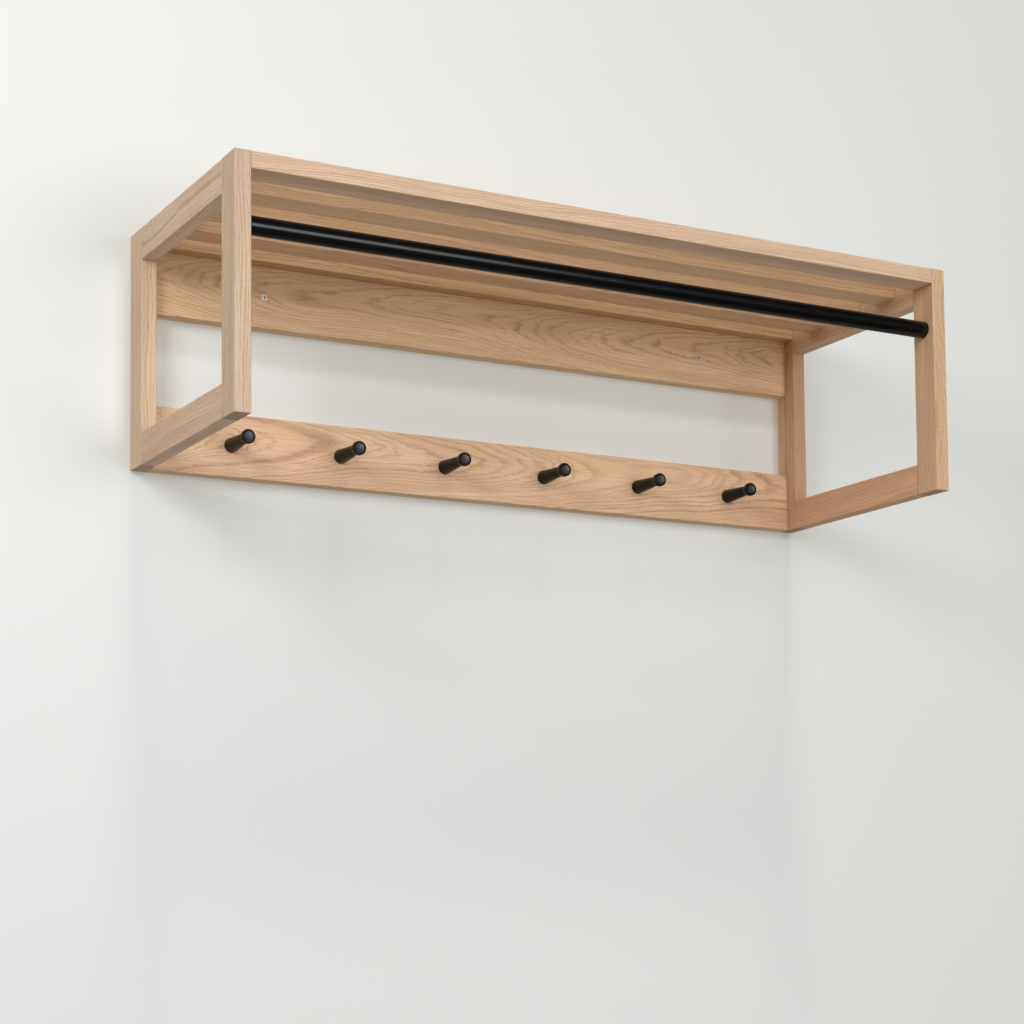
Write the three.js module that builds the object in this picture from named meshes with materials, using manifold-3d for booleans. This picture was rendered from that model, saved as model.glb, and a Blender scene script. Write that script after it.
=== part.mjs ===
// A wall rack in oak: a slatted hat shelf between two open side frames, with a black hanging rod
// under its front edge and a row of black turned coat pegs along the bottom.
// Millimetres. X runs along the rack, +Y points into the wall, +Z is up.
// The origin is the middle of the upper back board's rear face, so the wall is the plane Y = 0.
import * as THREE from "three";
import { mergeVertices } from "three/addons/utils/BufferGeometryUtils.js";
import Module from "manifold-3d";

// Overall sizes.
const OVERALL_WIDTH = 1000;
const OVERALL_DEPTH = 350;
const OVERALL_HEIGHT = 295;

// Every upright, rail and slat is planed to one section.
const STICK_WIDTH = 40;
const STICK_THICKNESS = 20;
const SLAT_COUNT = 4;

// The two boards against the wall.
const BOARD_HEIGHT = 80;
const BOARD_THICKNESS = 20;

// Radius that eases the long edges of sticks and boards.
const EASED_EDGE = 1.2;

// Loose tenons, glued into slots in both pieces of a joint.
const TENON_THICKNESS = 6;
const TENON_IN_END_GRAIN = 22;
const TENON_IN_FRAME = 12;
const TENON_IN_UPRIGHT = 20;
const TENON_SHOULDER = 7;
const TENON_WEB = 3;
const GLUE_GAP = 0.15;

// Hanging rod, a steel tube, and the spigots that carry its ends.
const ROD_DIAMETER = 22;
const ROD_WALL = 1.5;
const ROD_DROP = 78;
const ROD_END_BREAK = 0.4;
const SPIGOT_NOSE_DIAMETER = 10;
const SPIGOT_NOSE_LENGTH = 12;
const SPIGOT_BODY_LENGTH = 28;
const SPIGOT_FIT = 0.1;

// Coat pegs. The inset is from a side frame's inner face to the axis of the peg nearest to it.
const PEG_COUNT = 6;
const PEG_INSET = 105;
const PEG_LENGTH = 60;
const PEG_FOOT_DIAMETER = 19;
const PEG_FOOT_BREAK = 0.6;
const PEG_NECK_DIAMETER = 13;
const PEG_HEAD_DIAMETER = 18;
const PEG_HEAD_LENGTH = 6;
const PEG_FLARE_LENGTH = 7;
const PEG_RIM_RADIUS = 1.6;
const PEG_DISH_DIAMETER = 12.5;
const PEG_DISH_DEPTH = 1.1;
const PEG_HOLE_CLEARANCE = 4;

// Countersunk screws: one from behind into each peg, and two through the upper board into the wall.
// head and shank are diameters, countersink is the head's height, and point is the taper's length.
const PEG_SCREW = { head: 8, shank: 4, length: 34, countersink: 3, point: 3 };
const WALL_SCREW = { head: 9, shank: 4.5, length: 45, countersink: 3.4, point: 6 };
const WALL_SCREW_INSET = 170;
const SCREW_CLEARANCE = 0.25;
const SCREW_RIM = 0.3;
const SCREW_EDGE_BREAK = 0.2;
const SCREW_TIP_DIAMETER = 0.8;
const RECESS_WIDTH = 1.2;
const RECESS_LENGTH = 5;
const RECESS_DEPTH = 1.6;

// Facets round a turned shape or a screw, along a quarter of an eased edge or of a tenon's round
// edge, and along a peg's flare and rim.
const TURNED_SEGMENTS = 24;
const SCREW_SEGMENTS = 12;
const EASED_SEGMENTS = 1;
const TENON_SEGMENTS = 2;
const FLARE_SEGMENTS = 5;
const RIM_SEGMENTS = 4;

// How far a cutter runs past the face it opens, and how much flat a full round edge keeps.
const CUT_PAST = 1;
const ROUND_FLAT = 0.01;

// Places that follow from the sizes above.
const SIDES = { left: -1, right: 1 };
const TOP = BOARD_HEIGHT / 2 + STICK_THICKNESS;
const BOTTOM = TOP - OVERALL_HEIGHT;
const FRONT = -OVERALL_DEPTH;
const INNER_X = OVERALL_WIDTH / 2 - STICK_THICKNESS;
const FRAME_X = OVERALL_WIDTH / 2 - STICK_THICKNESS / 2;
const SPAN = 2 * INNER_X;
const SLAT_Z = TOP - STICK_THICKNESS / 2;
const SLAT_PITCH = (OVERALL_DEPTH - STICK_WIDTH) / SLAT_COUNT;
const BOARD_Y = -BOARD_THICKNESS / 2;
const LOWER_BOARD_Z = BOTTOM + BOARD_HEIGHT / 2;
const PEG_PITCH = (SPAN - 2 * PEG_INSET) / (PEG_COUNT - 1);
const ROD_Y = FRONT + STICK_WIDTH / 2;
const ROD_Z = TOP - ROD_DROP;

const OAK = { color: 0xcfa77c, roughness: 0.6, metalness: 0 };
const BEECH = { color: 0xdcb98e, roughness: 0.7, metalness: 0 };
const BLACK_PAINT = { color: 0x17161a, roughness: 0.45, metalness: 0.1 };
const STEEL = { color: 0xb9bcbe, roughness: 0.35, metalness: 1 };

const wasm = await Module();
wasm.setup();

function solidOf(geometry) {
  const bare = geometry.clone();
  bare.deleteAttribute("normal");
  bare.deleteAttribute("uv");
  const merged = mergeVertices(bare, 1e-4);
  const triVerts = new Uint32Array(merged.index.array);
  const vertProperties = new Float32Array(merged.attributes.position.array);
  return new wasm.Manifold(new wasm.Mesh({ numProp: 3, vertProperties, triVerts }));
}

function geometryOf(solid) {
  const made = solid.getMesh();
  const geometry = new THREE.BufferGeometry();
  geometry.setAttribute("position", new THREE.BufferAttribute(made.vertProperties, 3));
  geometry.setIndex(new THREE.BufferAttribute(made.triVerts, 1));
  geometry.computeVertexNormals();
  return geometry;
}

function cut(geometry, cutters) {
  let solid = solidOf(geometry);
  for (const cutter of cutters) {
    solid = solid.subtract(solidOf(cutter));
  }
  return geometryOf(solid);
}

// A rectangle with round corners, as the section of a stick, board or tenon.
function roundedSection(width, height, radius) {
  const x = width / 2;
  const y = height / 2;
  const section = new THREE.Shape();
  section.absarc(x - radius, radius - y, radius, -Math.PI / 2, 0);
  section.absarc(x - radius, y - radius, radius, 0, Math.PI / 2);
  section.absarc(radius - x, y - radius, radius, Math.PI / 2, Math.PI);
  section.absarc(radius - x, radius - y, radius, Math.PI, 1.5 * Math.PI);
  return section;
}

// A bar centred on its own origin: its length along X, Y or Z, and its section given by its sizes
// along the other two axes in X, Y, Z order.
function bar(along, length, first, second, radius, segments) {
  const section = {
    x: roundedSection(second, first, radius),
    y: roundedSection(first, second, radius),
    z: roundedSection(first, second, radius),
  }[along];
  const geometry = new THREE.ExtrudeGeometry(section, {
    depth: length,
    bevelEnabled: false,
    curveSegments: segments,
  });
  geometry.translate(0, 0, -length / 2);
  if (along === "x") geometry.rotateY(Math.PI / 2);
  if (along === "y") geometry.rotateX(-Math.PI / 2);
  return geometry;
}

function timber(along, length, first, second) {
  return bar(along, length, first, second, EASED_EDGE, EASED_SEGMENTS);
}

function piece(name, finish, geometry, position) {
  const mesh = new THREE.Mesh(geometry, new THREE.MeshStandardMaterial(finish));
  mesh.name = name;
  mesh.position.copy(position);
  return mesh;
}

// A piece whose slots and holes are given as shapes standing in the rack's own frame.
function fittedPiece(name, finish, geometry, position, cutters) {
  const local = cutters.map((cutter) => cutter.translate(-position.x, -position.y, -position.z));
  return piece(name, finish, cut(geometry, local), position);
}

// A loose tenon, or its slot when grown by the glue gap. first and second are its section, as for
// a bar.
function tenonShape(joint, grown) {
  const gap = grown ? GLUE_GAP : 0;
  const first = joint.first + 2 * gap;
  const second = joint.second + 2 * gap;
  const radius = Math.min(first, second) / 2 - ROUND_FLAT;
  return bar(joint.along, joint.length + 2 * gap, first, second, radius, TENON_SEGMENTS);
}

function slotFor(joint) {
  return tenonShape(joint, true).translate(joint.at.x, joint.at.y, joint.at.z);
}

// The corner joints of a side frame: a rail's end grain against the inner edge of an upright. The
// tenon stays clear of the one that holds the slat, or the front rail, at the same corner.
function cornerJoint(side, upright, level) {
  const nearEdge = STICK_THICKNESS / 2 + TENON_THICKNESS / 2 + GLUE_GAP + TENON_WEB;
  const farEdge = STICK_WIDTH - TENON_SHOULDER;
  const inset = (nearEdge + farEdge) / 2;
  const z = level === "top" ? TOP - inset : BOTTOM + inset;
  const inward = upright === "front" ? 1 : -1;
  const shoulderY = upright === "front" ? FRONT + STICK_WIDTH : -STICK_WIDTH;
  const length = TENON_IN_UPRIGHT + TENON_IN_END_GRAIN;
  const y = shoulderY + (inward * (TENON_IN_END_GRAIN - TENON_IN_UPRIGHT)) / 2;
  return {
    name: `${side}_${upright}_${level}_tenon`,
    along: "y",
    length,
    first: TENON_THICKNESS,
    second: farEdge - nearEdge,
    at: new THREE.Vector3(SIDES[side] * FRAME_X, y, z),
  };
}

// The joint at one end of a piece that spans between the side frames.
function spanJoint(name, side, y, z, first, second) {
  const length = TENON_IN_FRAME + TENON_IN_END_GRAIN;
  const x = INNER_X + (TENON_IN_FRAME - TENON_IN_END_GRAIN) / 2;
  return {
    name: `${name}_${side}_tenon`,
    along: "x",
    length,
    first,
    second,
    at: new THREE.Vector3(SIDES[side] * x, y, z),
  };
}

// The front rail and the slats, which share one level, in order from the front.
function shelfBars() {
  return Array.from({ length: SLAT_COUNT + 1 }, (_, i) => ({
    name: i === 0 ? "front_rail" : `shelf_slat_${i}`,
    y: FRONT + STICK_WIDTH / 2 + i * SLAT_PITCH,
  }));
}

function shelfJoint(shelfBar, side) {
  const width = STICK_WIDTH - 2 * TENON_SHOULDER;
  return spanJoint(shelfBar.name, side, shelfBar.y, SLAT_Z, width, TENON_THICKNESS);
}

function boardJoint(name, side, z) {
  const width = BOARD_HEIGHT - 4 * TENON_SHOULDER;
  return spanJoint(name, side, BOARD_Y, z, TENON_THICKNESS, width);
}

// A shape of revolution about an X or Y axis. The outline is a list of [radius, distance along the axis].
function turned(outline, segments) {
  const points = outline.map(([radius, along]) => new THREE.Vector2(radius, along));
  return new THREE.LatheGeometry(points, segments);
}

// A quarter circle that turns from a turned shape's side on to its end, as [radius, along] pairs.
function quarterRound(centreRadius, centreAlong, radius, segments) {
  return Array.from({ length: segments + 1 }, (_, i) => {
    const angle = (Math.PI / 2) * (i / segments);
    return [centreRadius + radius * Math.cos(angle), centreAlong + radius * Math.sin(angle)];
  });
}

// A countersunk screw with its head's face at 0 and its point towards +Y.
function screwShape(screw) {
  const head = screw.head / 2;
  const shank = screw.shank / 2;
  const outline = [
    [0, 0],
    [head - SCREW_EDGE_BREAK, 0],
    [head, SCREW_RIM],
    [shank, screw.countersink],
    [shank, screw.length - screw.point],
    [SCREW_TIP_DIAMETER / 2, screw.length],
    [0, screw.length],
  ];
  return turned(outline, SCREW_SEGMENTS);
}

// The countersunk hole for a screw, from its mouth at 0 to beyond the far face of a board.
function screwHole(screw, depth) {
  const mouth = screw.head / 2 + SCREW_CLEARANCE;
  const shank = screw.shank / 2 + SCREW_CLEARANCE;
  const outline = [
    [0, -CUT_PAST],
    [mouth, -CUT_PAST],
    [mouth, SCREW_RIM],
    [shank, screw.countersink + SCREW_CLEARANCE],
    [shank, depth + CUT_PAST],
    [0, depth + CUT_PAST],
  ];
  return turned(outline, SCREW_SEGMENTS);
}

// Cutters for the cross recess in a screw's head: two crossed bars sunk from its face.
function crossRecess() {
  const depth = RECESS_DEPTH + CUT_PAST;
  const across = new THREE.BoxGeometry(RECESS_LENGTH, depth, RECESS_WIDTH);
  const upright = new THREE.BoxGeometry(RECESS_WIDTH, depth, RECESS_LENGTH);
  return [across, upright].map((shape) => shape.translate(0, depth / 2 - CUT_PAST, 0));
}

function pegPlaces() {
  return Array.from({ length: PEG_COUNT }, (_, i) => {
    const x = (i - (PEG_COUNT - 1) / 2) * PEG_PITCH;
    return new THREE.Vector3(x, -BOARD_THICKNESS, LOWER_BOARD_Z);
  });
}

// Half the outline of a peg, from the foot on the board to the dished end, with the screw's hole in
// the foot.
function pegOutline() {
  const foot = PEG_FOOT_DIAMETER / 2;
  const neck = PEG_NECK_DIAMETER / 2;
  const head = PEG_HEAD_DIAMETER / 2;
  const dish = PEG_DISH_DIAMETER / 2;
  const hole = PEG_SCREW.shank / 2 + SCREW_CLEARANCE;
  const holeDepth = PEG_SCREW.length - BOARD_THICKNESS + PEG_HOLE_CLEARANCE;
  const headStart = PEG_LENGTH - PEG_HEAD_LENGTH;
  const flareStart = headStart - PEG_FLARE_LENGTH;
  const flare = Array.from({ length: FLARE_SEGMENTS + 1 }, (_, i) => {
    const share = i / FLARE_SEGMENTS;
    return [neck + (head - neck) * share ** 2, flareStart + PEG_FLARE_LENGTH * share];
  });
  const rimCentre = PEG_LENGTH - PEG_RIM_RADIUS;
  const rim = quarterRound(head - PEG_RIM_RADIUS, rimCentre, PEG_RIM_RADIUS, RIM_SEGMENTS);
  const dished = [1, 0.6, 0].map((share) => {
    const depth = PEG_DISH_DEPTH * (1 - share ** 2);
    return [dish * share, PEG_LENGTH - depth];
  });
  return [
    [0, holeDepth],
    [hole, holeDepth],
    [hole, 0],
    [foot - PEG_FOOT_BREAK, 0],
    [foot, PEG_FOOT_BREAK],
    ...flare,
    ...rim,
    ...dished,
  ];
}

// The blind bore in a front upright that takes the nose of a spigot.
function rodBore(side) {
  const reach = SPIGOT_NOSE_LENGTH + 2 * SPIGOT_FIT;
  const radius = SPIGOT_NOSE_DIAMETER / 2 + SPIGOT_FIT;
  const outline = [
    [0, -CUT_PAST],
    [radius, -CUT_PAST],
    [radius, reach],
    [0, reach],
  ];
  const bore = turned(outline, TURNED_SEGMENTS);
  bore.rotateZ(side === "left" ? Math.PI / 2 : -Math.PI / 2);
  return bore.translate(SIDES[side] * INNER_X, ROD_Y, ROD_Z);
}

function uprights(side) {
  const group = new THREE.Group();
  const bars = shelfBars();
  const frontSlots = [
    slotFor(cornerJoint(side, "front", "top")),
    slotFor(cornerJoint(side, "front", "bottom")),
    slotFor(shelfJoint(bars[0], side)),
    rodBore(side),
  ];
  const rearSlots = [
    slotFor(cornerJoint(side, "rear", "top")),
    slotFor(cornerJoint(side, "rear", "bottom")),
    slotFor(shelfJoint(bars[SLAT_COUNT], side)),
    slotFor(boardJoint("upper_back_board", side, 0)),
    slotFor(boardJoint("lower_back_board", side, LOWER_BOARD_Z)),
  ];
  const places = [
    ["front", FRONT + STICK_WIDTH / 2, frontSlots],
    ["rear", -STICK_WIDTH / 2, rearSlots],
  ];
  for (const [name, y, slots] of places) {
    const stick = timber("z", OVERALL_HEIGHT, STICK_THICKNESS, STICK_WIDTH);
    const position = new THREE.Vector3(SIDES[side] * FRAME_X, y, (TOP + BOTTOM) / 2);
    group.add(fittedPiece(`${side}_${name}_upright`, OAK, stick, position, slots));
  }
  return group;
}

function sideRails(side) {
  const group = new THREE.Group();
  const middleSlats = shelfBars().slice(1, SLAT_COUNT);
  for (const level of ["top", "bottom"]) {
    const z = level === "top" ? TOP - STICK_WIDTH / 2 : BOTTOM + STICK_WIDTH / 2;
    const stick = timber("y", OVERALL_DEPTH - 2 * STICK_WIDTH, STICK_THICKNESS, STICK_WIDTH);
    const slots = ["front", "rear"].map((upright) => slotFor(cornerJoint(side, upright, level)));
    if (level === "top") {
      slots.push(...middleSlats.map((slat) => slotFor(shelfJoint(slat, side))));
    }
    const position = new THREE.Vector3(SIDES[side] * FRAME_X, -OVERALL_DEPTH / 2, z);
    group.add(fittedPiece(`${side}_${level}_rail`, OAK, stick, position, slots));
  }
  return group;
}

function shelf() {
  const group = new THREE.Group();
  for (const shelfBar of shelfBars()) {
    const stick = timber("x", SPAN, STICK_WIDTH, STICK_THICKNESS);
    const slots = Object.keys(SIDES).map((side) => slotFor(shelfJoint(shelfBar, side)));
    const position = new THREE.Vector3(0, shelfBar.y, SLAT_Z);
    group.add(fittedPiece(shelfBar.name, OAK, stick, position, slots));
  }
  return group;
}

function wallScrewPlaces() {
  const x = OVERALL_WIDTH / 2 - WALL_SCREW_INSET;
  return Object.entries(SIDES).map(([side, sign]) => ({
    side,
    at: new THREE.Vector3(sign * x, -BOARD_THICKNESS, 0),
  }));
}

function backBoards() {
  const group = new THREE.Group();
  const wallHoles = wallScrewPlaces().map(({ at }) =>
    screwHole(WALL_SCREW, BOARD_THICKNESS).translate(at.x, at.y, at.z),
  );
  const pegHoles = pegPlaces().map((at) =>
    screwHole(PEG_SCREW, BOARD_THICKNESS).rotateX(Math.PI).translate(at.x, 0, at.z),
  );
  const boards = [
    ["upper_back_board", 0, wallHoles],
    ["lower_back_board", LOWER_BOARD_Z, pegHoles],
  ];
  for (const [name, z, holes] of boards) {
    const board = timber("x", SPAN, BOARD_THICKNESS, BOARD_HEIGHT);
    const slots = Object.keys(SIDES).map((side) => slotFor(boardJoint(name, side, z)));
    const position = new THREE.Vector3(0, BOARD_Y, z);
    group.add(fittedPiece(name, OAK, board, position, [...slots, ...holes]));
  }
  return group;
}

function tenons() {
  const group = new THREE.Group();
  const joints = Object.keys(SIDES).flatMap((side) => [
    cornerJoint(side, "front", "top"),
    cornerJoint(side, "front", "bottom"),
    cornerJoint(side, "rear", "top"),
    cornerJoint(side, "rear", "bottom"),
    ...shelfBars().map((shelfBar) => shelfJoint(shelfBar, side)),
    boardJoint("upper_back_board", side, 0),
    boardJoint("lower_back_board", side, LOWER_BOARD_Z),
  ]);
  for (const joint of joints) {
    group.add(piece(joint.name, BEECH, tenonShape(joint, false), joint.at));
  }
  return group;
}

function rodTube() {
  const outer = ROD_DIAMETER / 2;
  const inner = outer - ROD_WALL;
  const half = SPAN / 2;
  const outline = [
    [inner, -half],
    [outer - ROD_END_BREAK, -half],
    [outer, ROD_END_BREAK - half],
    [outer, half - ROD_END_BREAK],
    [outer - ROD_END_BREAK, half],
    [inner, half],
    [inner, -half],
  ];
  const tube = turned(outline, TURNED_SEGMENTS).rotateZ(-Math.PI / 2);
  return piece("hanging_rod", BLACK_PAINT, tube, new THREE.Vector3(0, ROD_Y, ROD_Z));
}

// A stepped plug: its body fits the end of the tube, and its nose the bore in the front upright.
function rodSpigot(side) {
  const body = ROD_DIAMETER / 2 - ROD_WALL - SPIGOT_FIT;
  const nose = SPIGOT_NOSE_DIAMETER / 2;
  const outline = [
    [0, -SPIGOT_BODY_LENGTH],
    [body, -SPIGOT_BODY_LENGTH],
    [body, 0],
    [nose, 0],
    [nose, SPIGOT_NOSE_LENGTH],
    [0, SPIGOT_NOSE_LENGTH],
  ];
  const plug = turned(outline, TURNED_SEGMENTS);
  plug.rotateZ(side === "left" ? Math.PI / 2 : -Math.PI / 2);
  const position = new THREE.Vector3(SIDES[side] * INNER_X, ROD_Y, ROD_Z);
  return piece(`rod_spigot_${side}`, STEEL, plug, position);
}

function hangingRod() {
  const group = new THREE.Group();
  group.add(rodTube(), rodSpigot("left"), rodSpigot("right"));
  return group;
}

function pegsAndScrews() {
  const group = new THREE.Group();
  pegPlaces().forEach((at, i) => {
    const peg = piece(`coat_peg_${i + 1}`, BLACK_PAINT, turned(pegOutline(), TURNED_SEGMENTS), at);
    peg.rotation.x = Math.PI;
    const atWall = new THREE.Vector3(at.x, 0, at.z);
    const screw = piece(`peg_screw_${i + 1}`, STEEL, screwShape(PEG_SCREW), atWall);
    screw.rotation.x = Math.PI;
    group.add(peg, screw);
  });
  return group;
}

function wallScrews() {
  const group = new THREE.Group();
  for (const { side, at } of wallScrewPlaces()) {
    const screw = cut(screwShape(WALL_SCREW), crossRecess());
    group.add(piece(`wall_screw_${side}`, STEEL, screw, at));
  }
  return group;
}

const rack = new THREE.Group();
rack.name = "wall_rack";
for (const side of Object.keys(SIDES)) {
  rack.add(uprights(side), sideRails(side));
}
rack.add(shelf(), backBoards(), tenons(), hangingRod(), pegsAndScrews(), wallScrews());

export default rack;
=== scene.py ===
import math

import bmesh
import bpy
from mathutils import Euler, Matrix, Vector


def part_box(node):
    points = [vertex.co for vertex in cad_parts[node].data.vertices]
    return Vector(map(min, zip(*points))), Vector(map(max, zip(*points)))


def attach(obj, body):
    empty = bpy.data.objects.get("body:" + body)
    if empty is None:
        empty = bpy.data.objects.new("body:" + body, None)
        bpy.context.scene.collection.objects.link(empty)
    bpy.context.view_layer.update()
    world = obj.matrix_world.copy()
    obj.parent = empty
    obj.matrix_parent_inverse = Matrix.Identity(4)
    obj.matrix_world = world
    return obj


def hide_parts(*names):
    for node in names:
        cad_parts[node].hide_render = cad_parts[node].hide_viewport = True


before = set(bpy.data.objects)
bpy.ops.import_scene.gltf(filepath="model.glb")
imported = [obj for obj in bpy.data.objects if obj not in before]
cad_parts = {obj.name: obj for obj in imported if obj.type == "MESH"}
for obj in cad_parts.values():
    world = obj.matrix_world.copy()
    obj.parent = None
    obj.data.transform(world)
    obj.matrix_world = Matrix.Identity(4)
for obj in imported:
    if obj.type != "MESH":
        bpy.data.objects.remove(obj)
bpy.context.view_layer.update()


# ---------------------------------------------------------------------------------------------
# Uprights: four oak sticks, planed to 20 by 40 mm, oiled, with their long arrises eased. Slots
# for loose tenons are routed into them before glueing, and each front stick has a blind bore that
# takes the nose of the hanging rod's spigot.

SIDES = ("left", "right")
EASED_EDGE = 0.0012
EASED_STEPS = 3
CUT_EDGE = 0.0004
GLUE_FILM = 0.00015
TENON_STEPS = 6
TENON_ROUND = 0.49
BORE_RADIUS = 0.0051
BORE_DEPTH = 0.0122
BORE_STEPS = 48
SHARP_ANGLE = math.radians(50)

# How oak grows: a ring is about 2.4 mm wide, the heart wanders along the trunk, and the pores lie in
# short dark dashes in the soft early part of each ring. A fineness is in marks per metre. Where it
# has three numbers, the first is along the grain and the others are across it.
RING_WIDTH = 0.0024
RING_UNEVEN = 3.0
RING_UNEVEN_FINENESS = 85.0
RING_RIPPLE = 0.0045
RING_RIPPLE_FINENESS = (6, 18, 18)
RING_SHAKE = 0.0013
RING_VARIES = 0.7
DECADE_FINENESS = 120.0
HEART_WANDER = 0.013
HEART_WAVE = 0.42
RAY_REACH = 0.07
RAY_FINENESS = (75, 2400, 100)
WARMTH_FINENESS = (3.5, 22, 22)

# How strongly each mark shows in the colour, and how rough and deep it leaves the planed face.
FIBRE_SHADE = 0.62
CLOUD_SHADE = 0.4
DECADE_SHADE = 0.4
RING_SHADE = 0.68
RAY_SHADE = 0.18
PORE_SHADE = 0.65
OAK_ROUGHNESS = 0.44
END_ROUGHER = 0.12
PORE_DEPTH = 0.00012

OAK_PALE = (0.9, 0.68, 0.465, 1)
OAK_MID = (0.66, 0.45, 0.275, 1)
OAK_DARK = (0.43, 0.25, 0.125, 1)
OAK_PORE = (0.27, 0.155, 0.08, 1)
OAK_STRAW = (1.0, 0.99, 0.93, 1)
OAK_ROSY = (1.0, 0.955, 0.93, 1)
OAK_END = (0.7, 0.66, 0.6, 1)

TURN_TO_GRAIN = {
    "x": (0, 0, 0),
    "y": (0, 0, math.radians(-90)),
    "z": (0, math.radians(90), 0),
}
AXES = {"x": (1, 0, 0), "y": (0, 1, 0), "z": (0, 0, 1)}


def add(tree, kind, sockets=None, **choices):
    """Adds a node, sets its choices, and gives each named socket a value or a link."""
    node = tree.nodes.new("ShaderNode" + kind)
    for choice, value in choices.items():
        setattr(node, choice, value)
    for socket, value in (sockets or {}).items():
        if isinstance(value, bpy.types.NodeSocket):
            tree.links.new(value, node.inputs[socket])
        else:
            node.inputs[socket].default_value = value
    return node


def maths(tree, operation, *values):
    return add(tree, "Math", dict(enumerate(values)), operation=operation).outputs[0]


def vectors(tree, operation, *values):
    return add(tree, "VectorMath", dict(enumerate(values)), operation=operation).outputs["Vector"]


def fade(tree, value, low, high, start=0.0, end=1.0):
    """A soft step from start to end as the value goes from low to high."""
    sockets = {"Value": value, "From Min": low, "From Max": high, "To Min": start, "To Max": end}
    return add(tree, "MapRange", sockets, interpolation_type="SMOOTHSTEP").outputs["Result"]


def tint(tree, share, first, second, kind="MIX"):
    """Colours mixed by a share: 0 is the first alone, and 1 the second or its full effect."""
    node = add(tree, "Mix", data_type="RGBA", blend_type=kind)
    for socket, value in ((0, share), (6, first), (7, second)):
        if isinstance(value, bpy.types.NodeSocket):
            tree.links.new(value, node.inputs[socket])
        else:
            node.inputs[socket].default_value = value
    return node.outputs[2]


def streaks(tree, grain, length, width, detail):
    """Noise drawn out along the grain, with marks of that length and width in metres."""
    stretched = vectors(tree, "MULTIPLY", grain, (1 / length, 1 / width, 1 / width))
    sockets = {"Vector": stretched, "Scale": 1.0, "Detail": detail, "Roughness": 0.55}
    return add(tree, "TexNoise", sockets).outputs["Fac"]


def new_figure(name, inputs):
    """An empty pattern that takes a place in the grain and gives colour, roughness and height."""
    tree = bpy.data.node_groups.new(name, "ShaderNodeTree")
    tree.interface.new_socket("Grain", in_out="INPUT", socket_type="NodeSocketVector")
    for socket in inputs:
        tree.interface.new_socket(socket, in_out="INPUT", socket_type="NodeSocketFloat")
    tree.interface.new_socket("Colour", in_out="OUTPUT", socket_type="NodeSocketColor")
    tree.interface.new_socket("Roughness", in_out="OUTPUT", socket_type="NodeSocketFloat")
    tree.interface.new_socket("Height", in_out="OUTPUT", socket_type="NodeSocketFloat")
    return tree, tree.nodes.new("NodeGroupInput").outputs, tree.nodes.new("NodeGroupOutput").inputs


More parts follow.
